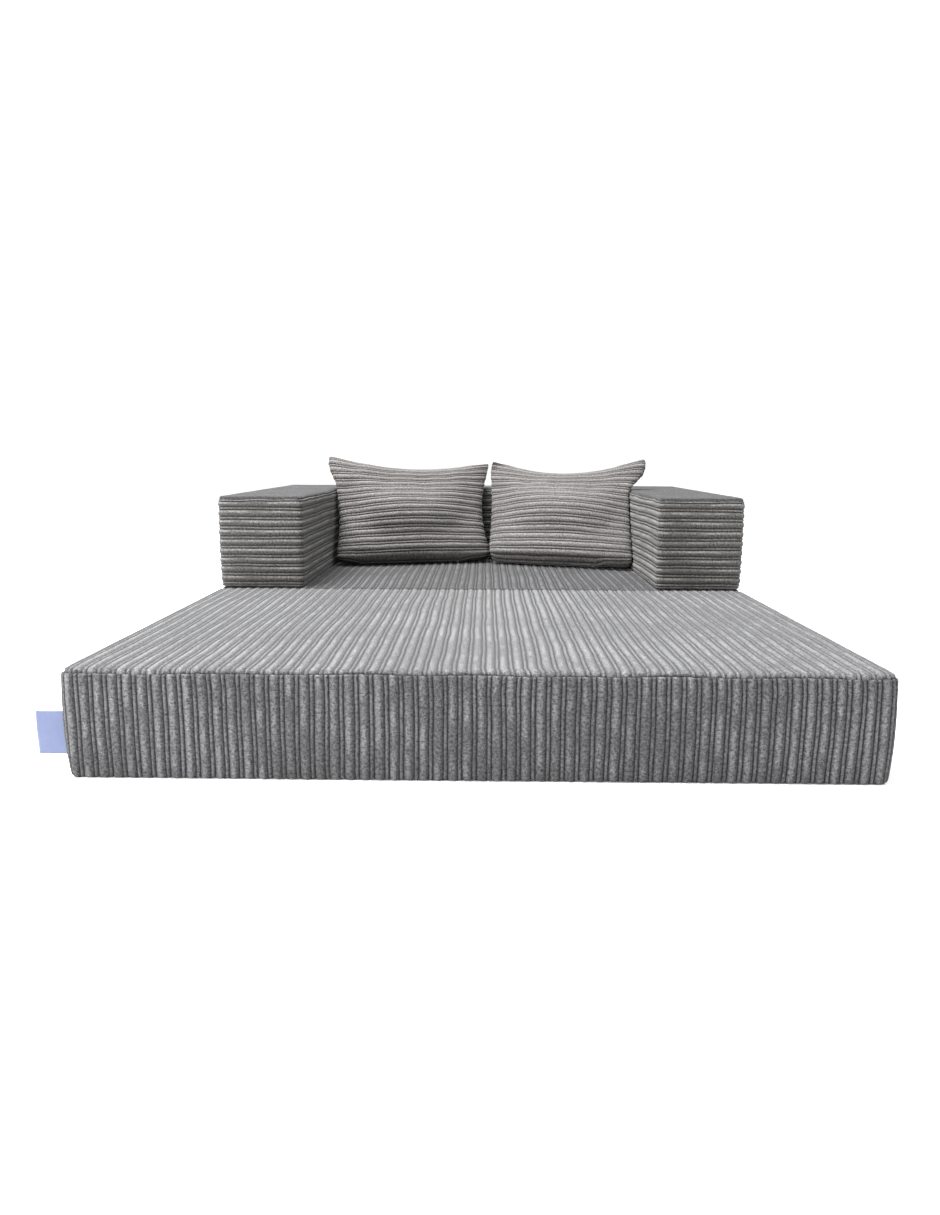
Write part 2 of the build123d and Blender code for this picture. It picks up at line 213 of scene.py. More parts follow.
class BlockShape:
    """The stuffed form of one foam block, between the corners of its CAD cover.

    Sides are numbered 0 left, 1 front, 2 right and 3 rear. free gives how much each one bows out, bow how
    far at most. The zip is in the middle of zip_side, and its slot is twice zip_half long."""

    def __init__(self, node, free, zip_side, zip_half, bow=0.002):
        low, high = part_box(node)
        self.low, self.high = low, high
        self.middle = (low + high) / 2
        self.half_x, self.half_y = (high.x - low.x) / 2, (high.y - low.y) / 2
        self.height = high.z - low.z
        self.free, self.bow = free, bow
        self.zip_side, self.zip_half = zip_side, zip_half
        self.straight_x = 2 * (self.half_x - block_corner)
        self.straight_y = 2 * (self.half_y - block_corner)
        self.quarter = math.pi / 2 * block_corner
        self.girth = 2 * (self.straight_x + self.straight_y) + 4 * self.quarter
        wall = self.height - bottom_roll - top_roll
        self.rise = hem_width + math.pi / 2 * bottom_roll + wall + top_roll * seam_angle

    def around(self, s):
        """Spot on the outline and the way out there. s starts at the rear end of the left side and goes
        by the front."""
        heading, out = Vector((0, -1)), Vector((-1, 0))
        for i in range(4):
            straight, half = (self.straight_y, self.half_x) if i % 2 == 0 else (self.straight_x, self.half_y)
            if s <= straight:
                return out * half + heading * (s - straight / 2), out
            s -= straight
            if s <= self.quarter or i == 3:
                angle = s / block_corner
                way = out * math.cos(angle) + heading * math.sin(angle)
                return out * (half - block_corner) + heading * straight / 2 + way * block_corner, way
            s -= self.quarter
            heading, out = -out, heading

    def zip_slot(self):
        """Both ends of the zip's slot, measured round the outline."""
        straights = (self.straight_y, self.straight_x, self.straight_y, self.straight_x)
        start = sum(straights[:self.zip_side]) + self.zip_side * self.quarter
        middle = start + straights[self.zip_side] / 2
        return middle - self.zip_half, middle + self.zip_half

    def bowing(self, out, z):
        """How far the wall stands out at a height: most in the middle, none on the zip's line, drawn in
        at the foot."""
        share = min(1, max(0, z / self.height))
        line = zip_line / self.height
        foot = 4 * line * (1 - line) / (1 - line) ** 4
        left, front, right, rear = self.free
        ease = max(0, -out.x) ** 2 * left + max(0, -out.y) ** 2 * front
        ease += max(0, out.x) ** 2 * right + max(0, out.y) ** 2 * rear
        return self.bow * ease * (4 * share * (1 - share) - foot * (1 - share) ** 4)

    def band_spot(self, s, t):
        """Spot and way out on the band: s round the block, t up from the hem's inner edge to the top seam."""
        flat, out = self.around(s)
        t += self.waver(flat.x, flat.y) * ramp(1 - (self.rise - t) / seam_ease) - hem_width
        if t <= 0:
            inset, z, tilt = bottom_roll - t, 0, -math.pi / 2
        elif t <= math.pi / 2 * bottom_roll:
            tilt = t / bottom_roll - math.pi / 2
            inset, z = bottom_roll * (1 - math.cos(tilt)), bottom_roll * (1 + math.sin(tilt))
        else:
            z = t - math.pi / 2 * bottom_roll + bottom_roll
            inset, tilt = 0, 0
            over = z - (self.height - top_roll)
            if over > 0:
                tilt = over / top_roll
                inset, z = top_roll * (1 - math.cos(tilt)), self.height - top_roll * (1 - math.sin(tilt))
        slack = self.slack(flat.x, flat.y, z) * min(1, (self.height - z) / slack_reach)
        spot = flat + out * (self.bowing(out, z) - inset + slack)
        way = Vector((out.x * math.cos(tilt), out.y * math.cos(tilt), math.sin(tilt)))
        return Vector((self.middle.x + spot.x, self.middle.y + spot.y, self.low.z + z)), way

    def inside(self, x, y):
        """How far a spot of the top is inside the outline."""
        dx = abs(x) - (self.half_x - block_corner)
        dy = abs(y) - (self.half_y - block_corner)
        if dx > 0 and dy > 0:
            return block_corner - math.hypot(dx, dy)
        return block_corner - max(dx, dy)

    def waver(self, x, y):
        """How far the top seam wanders up or down: slowly, and in small scallops at the wales' ends."""
        slow = noise.noise(Vector((self.middle.x + x, self.middle.y + y, 7)) * waver_rate)
        return seam_waver * slow + seam_scallop * math.sin((x + y) * 2 * math.pi / wale_repeat)

    def slack(self, x, y, z):
        """Small unevenness of the cloth over the foam, nearly all of it inward."""
        wave = noise.noise(Vector((self.middle.x + x, self.middle.y + y, z)) * slack_rate)
        return cloth_slack * (wave - 0.6)

    def top_spot(self, x, y):
        """Spot and way out on the top panel."""
        gap = self.inside(x, y)
        step = 0.0005
        downhill = Vector((self.inside(x - step, y) - gap, self.inside(x, y - step) - gap))
        if downhill.length > step / 4:
            shift = downhill.normalized() * self.waver(x, y) * ramp(1 - (gap - seam_inset) / seam_ease)
            x, y = x - shift.x, y - shift.y
            gap = self.inside(x, y)
        lean = min(1, max(0, 1 - gap / top_roll))
        slack = self.slack(x, y, 1) * min(1, gap / slack_reach)
        z = self.height - top_roll * (1 - math.sqrt(1 - lean ** 2)) + slack
        away = downhill.normalized() * lean if downhill.length > step / 4 and lean > 0 else Vector((0, 0))
        way = Vector((away.x, away.y, math.sqrt(1 - lean ** 2))).normalized()
        return Vector((self.middle.x + x, self.middle.y + y, self.low.z + z)), way


def drift(x, y, room):
    """Sideways wander of the wales, slow and quick, and none at the seams."""
    slow = noise.noise(Vector((x * slow_rates[0], y * slow_rates[1], 9)))
    quick = noise.noise(Vector((x * quick_rates[0], y * quick_rates[1], 4)))
    return min(1, max(0, room) / slack_reach) * (slow_drift * slow + quick_drift * quick)


def top_panel(shape, wales_along_y):
    """The cover's top, trimmed round the corners along its wales."""
    half_across, half_along = (shape.half_x, shape.half_y) if wales_along_y else (shape.half_y, shape.half_x)
    half_across, half_along = half_across - seam_inset, half_along - seam_inset
    corner = block_corner - seam_inset
    across_lines = lines_across(first_wale - half_across, first_wale + half_across)
    along_lines = lines_along(-half_along, half_along, line_spacing)
    cloth = cut_cloth([line - first_wale for line in across_lines], along_lines)
    for v in cloth.verts:
        beyond = max(0, abs(v.co.x) - (half_across - corner))
        v.co.y *= (half_along - corner + math.sqrt(max(0, corner ** 2 - beyond ** 2))) / half_along
        v.co.x += first_wale
    keep_grain(cloth)

    def seam_gap(x, y):
        x -= first_wale
        return (shape.inside(x, y) if wales_along_y else shape.inside(y, -x)) - seam_inset

    raise_pile(cloth, seam_gap)
    for v in cloth.verts:
        x, y, lift = v.co.x - first_wale, v.co.y, v.co.z
        x += drift(x, y, seam_gap(v.co.x, y))
        spot, way = shape.top_spot(x, y) if wales_along_y else shape.top_spot(y, -x)
        v.co = spot + way * lift
    return cloth


def corner_lines(shape):
    """Mesh lines along level wales, 20 mm apart and close together round the block's corners."""
    spacing, steps = 0.020, 7
    lines, s = [], 0
    for side in range(4):
        straight = shape.straight_y if side % 2 == 0 else shape.straight_x
        count = round(straight / spacing)
        lines += [s + straight * k / count for k in range(count)]
        s += straight
        lines += [s + shape.quarter * k / steps for k in range(steps)]
        s += shape.quarter
    ends = list(end_lines[1:-1])
    return lines + ends + [shape.girth - e for e in ends] + [shape.girth]


def side_band(shape, wales_upright):
    """The band round the block's sides, with the slot for its zip. It shows the cover's second cloth."""
    if wales_upright:
        across_lines = lines_across(0, shape.girth)
        foot = [hem_width + bottom_roll * angle for angle in (0, 0.4, 0.8, 1.2, 1.57, 2.3)]
        along_lines = lines_along(0, shape.rise, line_spacing, foot)
    else:
        across_lines = lines_across(0, shape.rise)
        along_lines = sorted({-s for s in corner_lines(shape)})
    cloth = cut_cloth(across_lines, along_lines)
    slot_rim = 0.0025
    zip_rise = hem_width + (math.pi / 2 - 1) * bottom_roll + zip_line
    start, end = shape.zip_slot()
    low, high = Vector((start, zip_rise - zip_gap, 0)), Vector((end, zip_rise + zip_gap, 0))
    if not wales_upright:
        low, high = Vector((low.y, -high.x, 0)), Vector((high.y, -low.x, 0))
    cut_slot(cloth, low, high)
    keep_grain(cloth)

    def seam_gap(x, y):
        s, t = (x, y) if wales_upright else (-y, x)
        return min(t, shape.rise - t, s, shape.girth - s, slot_gap(x, y, low, high) + slot_rim)

    raise_pile(cloth, seam_gap)
    turn_in_slot(cloth, low, high)
    for v in cloth.verts:
        x, y, lift = v.co
        x += drift(x, y, seam_gap(x, y))
        spot, way = shape.band_spot(x, y) if wales_upright else shape.band_spot(-y, x)
        v.co = spot + way * lift
    for face in cloth.faces:
        face.material_index = 1
    return cloth


def make_piece(name, meshes, *materials):
    """One object at the origin from the finished meshes."""
    whole = bmesh.new()
    for part in meshes:
        data = bpy.data.meshes.new("cut")
        part.to_mesh(data)
        part.free()
        whole.from_mesh(data)
        bpy.data.meshes.remove(data)
    bmesh.ops.remove_doubles(whole, verts=whole.verts, dist=0.00003)
    mesh = bpy.data.meshes.new(name)
    whole.to_mesh(mesh)
    whole.free()
    for material in materials:
        mesh.materials.append(material)
    piece = bpy.data.objects.new(name, mesh)
    bpy.context.scene.collection.objects.link(piece)
    return piece


def linear(colour):
    """An sRGB hex colour as linear RGBA."""
    parts = [int(colour[k:k + 2], 16) / 255 for k in (1, 3, 5)]
    return tuple(p / 12.92 if p <= 0.04045 else ((p + 0.055) / 1.055) ** 2.4 for p in parts) + (1,)


def set_inputs(node, inputs):
    """Sets a node's sockets to values and sRGB hex colours, or links them to other nodes' outputs."""
    for socket, value in dict(inputs).items():
        if isinstance(value, bpy.types.NodeSocket):
            node.id_data.links.new(value, node.inputs[socket])
        else:
            node.inputs[socket].default_value = linear(value) if isinstance(value, str) else value


def add_node(tree, kind, inputs=(), output=0, **settings):
    """Adds a shader node with its settings, values and links, and gives the output asked for."""
    node = tree.nodes.new("ShaderNode" + kind)
    for name, value in settings.items():
        setattr(node, name, value)
    set_inputs(node, inputs)
    return node.outputs[output]


def new_material(name):
    """An empty material, its shader, and add_node for its node tree."""
    material = bpy.data.materials.new(name)
    material.use_nodes = True
    tree = material.node_tree
    return material, tree.nodes["Principled BSDF"], partial(add_node, tree)


def corduroy(name, crest, valley, highlight_colour, streak, patches):
    """Polyester plush corduroy, cut pile. A painted highlight lies in a streak on each wide wale, and weaker
    on each narrow one, broken into patches. The valleys are darker, partly the bare ground cloth and partly
    painted shade, and the fibre ends give a fine mottle, partly painted shade, and a soft sheen.

    streak gives where the painted highlight starts on the wale and its width, patches their number in a metre
    and the level at which they begin."""
    fibre_rate, tuft_rate = 430.0, 190.0
    stray_rate, stray = 60.0, 0.006
    broad_patch_rate, broad_patch_share = 4.2, 0.4
    patch_edge = 0.16
    pairs_apart, narrow_apart = 3.7, 0.47
    narrow_highlight_share, narrow_rise = 0.6, 0.85
    material, shader, add = new_material(name)

    def crown(place, start, width, fullness):
        """1 in the middle of a stretch across the wales, falling to 0 at its sides."""
        scaled = {0: place, 1: 2 / width, 2: -1 - 2 * start / width}
        way = add("Math", scaled, operation="MULTIPLY_ADD")
        way = add("Math", {0: way}, operation="ABSOLUTE")
        fall = add("Math", {0: way, 1: fullness}, operation="POWER")
        return add("Math", {0: 1.0, 1: fall}, operation="SUBTRACT", use_clamp=True)

    # Wales, and the painted highlight in a streak, which strays by 3 mm either way about every 17 mm
    grain = add("UVMap", uv_map="grain")
    across = add("SeparateXYZ", {0: grain})
    along = across.node.outputs[1]
    place = add("Math", {0: across, 1: wale_repeat}, operation="FLOORED_MODULO")
    wide = crown(place, 0, wide_wale, 4.0)
    narrow = crown(place, narrow_start, narrow_wale, narrow_fullness)
    shift = add("TexNoise", {"Vector": grain, "Scale": stray_rate, "Detail": 2.0})
    strayed = add("Math", {0: shift, 1: stray, 2: place}, operation="MULTIPLY_ADD")
    light = crown(strayed, streak[0] + stray / 2, streak[1], 2.0)
    narrow_painted_highlight = add("Math", {0: narrow, 1: narrow_highlight_share}, operation="MULTIPLY")
    light = add("Math", {0: light, 1: narrow_painted_highlight}, operation="MAXIMUM")

    # The painted highlight broken into patches, where each wale reads its own part of the noise, and broad
    # patches over them all
    pair = add("Math", {0: across, 1: wale_repeat}, operation="DIVIDE")
    pair = add("Math", {0: pair}, operation="FLOOR")
    on_narrow = add("Math", {0: place, 1: wide_wale}, operation="GREATER_THAN")
    number = add("Math", {0: on_narrow, 1: narrow_apart, 2: pair}, operation="MULTIPLY_ADD")
    wale_spot = add("CombineXYZ", {0: number, 1: along})
    patch_spot = add("VectorMath", {0: wale_spot, 1: (pairs_apart, patches[0], 0)}, operation="MULTIPLY")
    patch = add("TexNoise", {"Vector": patch_spot, "Scale": 1.0, "Detail": 4.0, "Roughness": 0.65})
    spot = add("TexCoord", output="Object")
    broad_highlight_patches = add("TexNoise", {"Vector": spot, "Scale": broad_patch_rate, "Detail": 2.5})
    highlight_breakup = add("Mix", {0: broad_patch_share, 2: patch, 3: broad_highlight_patches})
    highlight_patch_mask = add(
        "MapRange", {"Value": highlight_breakup, "From Min": patches[1], "From Max": patches[1] + patch_edge},
        interpolation_type="SMOOTHSTEP",
    )
    # Painted highlight: the wale tops take the lighter colour where the streak and its patches meet
    painted_highlight_patches = add("Math", {0: highlight_patch_mask, 1: light}, operation="MULTIPLY")
    tops = add("Mix", {0: painted_highlight_patches, 6: crest, 7: highlight_colour}, 2, data_type="RGBA")

    # Darker valleys between the wales: partly the bare ground cloth, partly painted shade
    low_crown = add("Math", {0: narrow, 1: narrow_rise}, operation="MULTIPLY")
    height = add("Math", {0: wide, 1: low_crown}, operation="MAXIMUM")
    height = add("Math", {0: height, 1: 0.5}, operation="POWER")
    pile = add("Mix", {0: height, 6: valley, 7: tops}, 2, data_type="RGBA")

    # Fibre ends 2.3 mm and tufts 5 mm apart, coarser than the real pile, so that they show
    fibre = add("TexNoise", {"Vector": grain, "Scale": fibre_rate, "Detail": 2.0, "Roughness": 0.7})
    tuft = add("TexNoise", {"Vector": grain, "Scale": tuft_rate, "Detail": 2.0, "Roughness": 0.6})
    rough = add("Math", {0: fibre, 1: tuft}, operation="ADD")
    # The mottle is random tone, with painted shade where the fibres' bump is low
    mottle = add(
        "MapRange", {"Value": rough, "From Min": 0.72, "From Max": 1.28, "To Min": 0.30, "To Max": 1.70}
    )
    colour = add("VectorMath", {0: pile, 1: mottle}, operation="MULTIPLY")
    bump = add("Bump", {"Height": rough, "Strength": 1.0, "Distance": 0.0016})
    set_inputs(shader, {
        "Base Color": colour, "Normal": bump, "Roughness": 0.86, "Specular IOR Level": 0.08,
        "Sheen Weight": 0.15, "Sheen Roughness": 0.4, "Sheen Tint": "#c9c9c7",
    })
    return material


# Where the painted highlight lies on each wide wale, left of its middle, as light from the left puts it, and
# its patches
lying_highlight = ((0.0012, 0.0112), (17.0, 0.43))
top_corduroy = corduroy("plush_corduroy", "#454546", "#2f2f30", "#565657", *lying_highlight)
# A darker copy of the same cloth, painted shade, for the bands and the back rest's top
shaded_band_corduroy = corduroy("plush_corduroy_band_painted_shade", "#3b3b3c", "#212122", "#535355", *lying_highlight)


def block_cover(part, body, shape, wales_upright, top_cloth, band_cloth):
    """Top panel and band of one block as one cover. Wales that are upright on the band go front to back on
    the top, and those that lie level round the band go from side to side."""
    cuts = [top_panel(shape, wales_upright), side_band(shape, wales_upright)]
    cover = make_piece(part + "_corduroy_cover", cuts, top_cloth, band_cloth)
    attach(cover, body)
    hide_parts(part + "_cover")


mattress_shape = BlockShape("mattress_cover", (1, 0.4, 1, 0), zip_side=2, zip_half=0.380, bow=0.004)
block_cover("mattress", "front_mattress", mattress_shape, True, top_corduroy, shaded_band_corduroy)


# Seat unit covers: the same cloth, sewn the same way. On the seat and on top of the arms it is a darker copy
# of the cloth, painted shade. On the arms and the back rest the wales lie level round the sides and go
# from side to side on the tops.

# Darker copy of the cloth: painted shade
shaded_seat_corduroy = corduroy("plush_corduroy_seat_painted_shade", "#303031", "#1e1e1e", "#424244", *lying_highlight)
# On the arms' level wales the painted highlight lies on each wide wale's upper shoulder, as light from above
# puts it. The arms' crest and valley colours are darker than the top's: painted shade.
arm_highlight = ((0.0090, 0.0080), (9.0, 0.40))
arm_corduroy = corduroy("plush_corduroy_level", "#403f3e", "#252424", "#5c5b5a", *arm_highlight)

seat_shape = BlockShape("seat_cover", (1, 0, 1, 1), zip_side=3, zip_half=0.630)
left_arm_shape = BlockShape("left_arm_cover", (1, 1, 0, 1), zip_side=0, zip_half=0.380)
right_arm_shape = BlockShape("right_arm_cover", (0, 1, 1, 1), zip_side=2, zip_half=0.380)
back_shape = BlockShape("back_cover", (0, 0, 0, 1), zip_side=3, zip_half=0.3835)
block_cover("seat", "seat_unit", seat_shape, True, shaded_seat_corduroy, shaded_band_corduroy)
block_cover("left_arm", "seat_unit", left_arm_shape, False, shaded_seat_corduroy, arm_corduroy)
block_cover("right_arm", "seat_unit", right_arm_shape, False, shaded_seat_corduroy, arm_corduroy)
block_cover("back", "seat_unit", back_shape, False, shaded_band_corduroy, arm_corduroy)


# Foam cores: one cut block of soft polyurethane foam in each cover, with its edges eased. It is a little
# smaller than its cover, and stands on the base cloth.

core_skin = 0.0115
core_sole = 0.0050
core_ease = 0.018


def foam(name):
    """Open-cell polyurethane foam, cut: pale, matt and finely pitted, with cells 1.4 mm apart, painted darker
    in the pits as shade.
    """
    material, shader, add = new_material(name)
    spot = add("TexCoord", output="Object")
    cells = add("TexVoronoi", {"Vector": spot, "Scale": 700.0}, "Distance")
    shade = add("Mix", {0: cells, 6: "#d8d2bd", 7: "#efeadb"}, 2, data_type="RGBA")
    bump = add("Bump", {"Height": cells, "Strength": 0.5, "Distance": 0.0006})
    set_inputs(shader, {"Base Color": shade, "Normal": bump, "Roughness": 0.95})
    return material


def foam_core(part, body, shape):
    """The cut foam block inside a cover."""
    core = bmesh.new()
    bmesh.ops.create_cube(core, size=1)
    height = shape.height - core_skin - core_sole
    size = Vector((2 * (shape.half_x - core_skin), 2 * (shape.half_y - core_skin), height))
    bmesh.ops.scale(core, vec=size, verts=core.verts)
    edges = core.edges[:]
    bmesh.ops.bevel(core, geom=edges, offset=core_ease, segments=5, profile=0.5, affect="EDGES", material=-1)
    lift = Vector((0, 0, (core_sole - core_skin) / 2))
    bmesh.ops.translate(core, vec=shape.middle + lift, verts=core.verts)
    piece = make_piece(part + "_foam_block", [core], block_foam)
    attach(piece, body)
    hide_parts(part + "_core")


block_foam = foam("cut_polyurethane_foam")
blocks = (
    ("mattress", "front_mattress", mattress_shape),
    ("seat", "seat_unit", seat_shape),
    ("left_arm", "seat_unit", left_arm_shape),
    ("right_arm", "seat_unit", right_arm_shape),
    ("back", "seat_unit", back_shape),
)
for part, body, shape in blocks:
    foam_core(part, body, shape)


# Pillows: each is two flat cuts of the same corduroy, wales level, sewn together all round and
# stuffed with loose fibre. The stuffing draws the sides in and leaves the corners as pointed ears.
# They stand on the seat and lean on the back rest, each turned a little to the middle.

# The mesh of the two cuts, and how many finer steps the simulation's result has in each of its squares
pillow_columns, pillow_rows, pillow_fine = 40, 30, 4
pillow_spacing = 0.011

# The foot with its zip, the seam's roll, the stuffing, and the sewn bag's crown, lumps and rounded ears
foot_face = -0.1812
foot_reach = 0.022
half_zip = 0.173
zip_ease = 0.045
edge_roll = 0.011
foot_fullness = 2.4
plumpness = 1.3
front_share, rear_share = 1.15, 0.85
bag_crown = 0.005
bag_lump, bag_lump_rate = 0.004, 9
ear_rounding, ear_sharpness = 0.07, 8

# The filling's shares of its cover's width and height, and of its depth that it stays away from each side
filling_width, filling_height, filling_depth = 0.90, 0.88, 0.18

# Where a pillow presses, less the room that its pile needs there, and how softly it yields
seat_top = seat_shape.high.z + 0.0035
rest_front = back_shape.low.y - 0.0038
arm_face = right_arm_shape.low.x - 0.0038
arm_release = right_arm_shape.high.z + 0.060
release_height = 0.085
seat_yield = 0.004
side_yield = 0.003


class PillowCut:
    """The sewn outline of one pillow: its widths at the top and foot, its ears' height, how far it is
    pushed aside and askew, how much higher its right ear is, and how far its left side, right side and
    top are drawn in."""

    def __init__(self, top, bottom, ears, shift, askew, tilt, sags):
        self.top, self.bottom, self.shift, self.askew = top, bottom, shift, askew
        self.tilt, self.sags = tilt, sags
        self.middle = (ears + foot_face) / 2
        self.height = ears - foot_face

    def half(self, y):
        """Half the width at a height over the middle."""
        return (self.bottom + (self.top - self.bottom) * (y / self.height + 0.5)) / 2

    def spot(self, across, up):
        """Spot at shares of the width and height from -1 to 1. The sides and the top sag between rounded
        corners."""
        left, right, top = self.sags
        x = across * (self.half(up * self.height / 2) - (left if across < 0 else right) * (1 - up ** 2))
        y = up * self.height / 2 + (self.tilt * across - top * (1 - across ** 2)) * max(0, up) ** 2
        rounding = 1 - ear_rounding * (across * up) ** ear_sharpness
        return Vector((x * rounding + self.shift + self.askew * y, y * rounding + self.middle, 0))


def soft_stop(value, limit, soften):
    """Keeps a value over a limit with a smooth start."""
    over = (value - limit) / soften
    return value if over > 20 else limit + soften * math.log1p(math.exp(over))


def sewn_bag(cut, seed):
    """The two flat cuts sewn together at their rims, a little crowned and uneven. Each corner keeps its
    column, its row and its side."""
    bag = bmesh.new()
    place = bag.verts.layers.float_vector.new("place")
    for side in (1, -1):
        grid = bmesh.ops.create_grid(bag, x_segments=pillow_columns, y_segments=pillow_rows, size=0.5)
        for v in grid["verts"]:
            column, row = round((v.co.x + 0.5) * pillow_columns), round((v.co.y + 0.5) * pillow_rows)
            inside = min(column, pillow_columns - column, row, pillow_rows - row)
            v[place] = (column, row, side * min(1, inside))
            v.co = cut.spot(2 * column / pillow_columns - 1, 2 * row / pillow_rows - 1)
            lump = noise.noise(Vector((v.co.x * bag_lump_rate, v.co.y * bag_lump_rate, seed + side)))
            v.co.z = side * min(1, inside) * (bag_crown * math.sqrt(inside) + bag_lump * lump)
        if side == -1:
            bmesh.ops.reverse_faces(bag, faces=list({f for v in grid["verts"] for f in v.link_faces}))
    bmesh.ops.remove_doubles(bag, verts=bag.verts, dist=0.0001)
    mesh = bpy.data.meshes.new("bag")
    bag.to_mesh(mesh)
    bag.free()
    return mesh


def swollen_spots(mesh):
    """Blows the sewn bag up with a cloth simulation, pinned at its seam. Gives each side's spots by finer
    column and row."""
    bag = bpy.data.objects.new("bag", mesh)
    bpy.context.scene.collection.objects.link(bag)
    sewn = [v.index for v, mark in zip(mesh.vertices, mesh.attributes["place"].data) if mark.vector.z == 0]
    bag.vertex_groups.new(name="seam").add(sewn, 1, "ADD")
    cloth = bag.modifiers.new("stuffing", "CLOTH")
    cloth.settings.quality = 6
    cloth.settings.tension_stiffness = 30
    cloth.settings.compression_stiffness = 30
    cloth.settings.shear_stiffness = 12
    cloth.settings.bending_stiffness = 2.0
    cloth.settings.shrink_min = -0.010
    cloth.settings.vertex_group_mass = "seam"
    cloth.settings.use_pressure = True
    cloth.settings.uniform_pressure_force = 3.4
    cloth.settings.effector_weights.gravity = 0
    cloth.collision_settings.use_collision = False
    finer = bag.modifiers.new("finer", "SUBSURF")
    finer.levels = finer.render_levels = 2
    for moment in range(1, 21):
        bpy.context.scene.frame_set(moment)
    swollen = bag.evaluated_get(bpy.context.evaluated_depsgraph_get()).to_mesh()
    spots = {1: {}, -1: {}}
    for v, mark in zip(swollen.vertices, swollen.attributes["place"].data):
        column, row, side = mark.vector
        key = (round(column * pillow_fine), round(row * pillow_fine))
        for face in (1, -1):
            if side * face > -0.01:
                spots[face][key] = v.co.copy()
    bpy.data.objects.remove(bag)
    return spots


def stuff(spots, cut):
    """Fills the bag: a dome of stuffing in the middle, and a rolled edge at the seam, thicker at the foot."""
    for (i, j), front in spots[1].items():
        rear = spots[-1][(i, j)]
        column, row = i / pillow_fine, j / pillow_fine
        across, up = 2 * column / pillow_columns - 1, 2 * row / pillow_rows - 1
        dome = (1 - across ** 2) * (1 - up ** 2)
        aside = min(column, pillow_columns - column) / pillow_columns * cut.top
        upright = min(row, pillow_rows - row) / pillow_rows * cut.height
        gap = aside * upright / (aside + upright + 0.00001)
        least = math.sqrt(2 * edge_roll * (1 + foot_fullness * min(0, up) ** 2) * gap)
        middle, half = (front.z + rear.z) / 2, (front.z - rear.z) / 2 * (1 + plumpness * dome)
        half = soft_stop(half, least, 0.000001 + min(0.004, 0.15 * gap))
        front.z, rear.z = middle + front_share * half, middle - rear_share * half


def settle(spot, arm_side):
    """Presses a spot of a pillow on to the seat, the back rest and its arm, up to the arm's top."""
    z = soft_stop(spot.z, seat_top, seat_yield)
    y = -soft_stop(-spot.y, -rest_front, side_yield)
    beside = ramp((arm_release - z) / release_height)
    inner = arm_side * spot.x
    pressed = -soft_stop(-inner, -arm_face, side_yield)
    x = arm_side * (pressed * beside + inner * (1 - beside))
    return Vector((x, y, z))


def standing(spot, lean, turn):
    """Where a pillow stands: its middle, how far it leans back and how far it is turned."""
    turned = Matrix.Rotation(math.radians(turn), 4, "Z") @ Matrix.Rotation(math.radians(90 - lean), 4, "X")
    return Matrix.Translation(spot) @ turned


def pillow(body, cut, seed, stand, arm_side):
    """Cover and filling of one pillow on its place, with a straight zip in its foot."""
    columns, rows = pillow_columns * pillow_fine, pillow_rows * pillow_fine
    spots = swollen_spots(sewn_bag(cut, seed))
    stuff(spots, cut)
    spread = {
        side: [
            [settle(stand @ spots[side][(i, j)], arm_side) for j in range(rows + 1)]
            for i in range(columns + 1)
        ]
        for side in (1, -1)
    }
    from_stand = stand.inverted()

    def lay(side, x, y):
        """Spot and way out on one side of the stuffed pillow. The foot is drawn to the zip's two edges."""
        i = min(columns - 0.001, max(0, (x / cut.half(y) + 1) / 2 * columns))
        j = min(rows - 0.001, max(0, (y / cut.height + 0.5) * rows))
        a, b = int(i), int(j)
        u, w = i - a, j - b
        net = spread[side]
        left, right = net[a][b].lerp(net[a][b + 1], w), net[a + 1][b].lerp(net[a + 1][b + 1], w)
        spot = left.lerp(right, u)
        wide = net[min(columns, a + 2)][b] - net[max(0, a - 1)][b]
        tall = net[a][min(rows, b + 2)] - net[a][max(0, b - 1)]
        flat = from_stand @ spot
        pull = ramp(1 - (y + cut.height / 2) / foot_reach)
        pull *= ramp((half_zip + zip_ease - abs(flat.x)) / zip_ease)
        spot = spot.lerp(stand @ Vector((flat.x, foot_face, side * zip_gap)), pull)
        return spot, (wide.cross(tall) * side).normalized()

    def seam_gap(up, along):
        return min(cut.half(up) - abs(along), cut.height / 2 - abs(up))

    covers, fillings = [], []
    for side in (1, -1):
        across_lines = lines_across(-cut.height / 2, cut.height / 2)
        cover = cut_cloth(across_lines, lines_along(-cut.bottom / 2, cut.bottom / 2, pillow_spacing))
        for v in cover.verts:
            v.co.y *= cut.half(v.co.x) / (cut.bottom / 2)
        keep_grain(cover)
        raise_pile(cover, seam_gap, 0, 0)
        for v in cover.verts:
            up, along, lift = v.co
            spot, way = lay(side, -side * along, up + drift(up, along, seam_gap(up, along)))
            v.co = spot + way * lift
        covers.append(cover)
        filling_rows = [cut.height * (k / 24 - 0.5) for k in range(25)]
        filling = cut_cloth(filling_rows, [k / 15 - 1 for k in range(31)])
        for v in filling.verts:
            x, y = -side * v.co.y * filling_width * cut.half(v.co.x), v.co.x * filling_height
            near, far = lay(side, x, y)[0], lay(-side, x, y)[0]
            v.co = near.lerp(far, filling_depth)
        smooth(filling)
        fillings.append(filling)
    cover = make_piece(body + "_corduroy_cover", covers, pillow_corduroy)
    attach(cover, body)
    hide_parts(body + "_cover")
    filling = make_piece(body + "_fibre_filling", fillings, fibre_fill)
    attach(filling, body)
    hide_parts(body + "_filling")


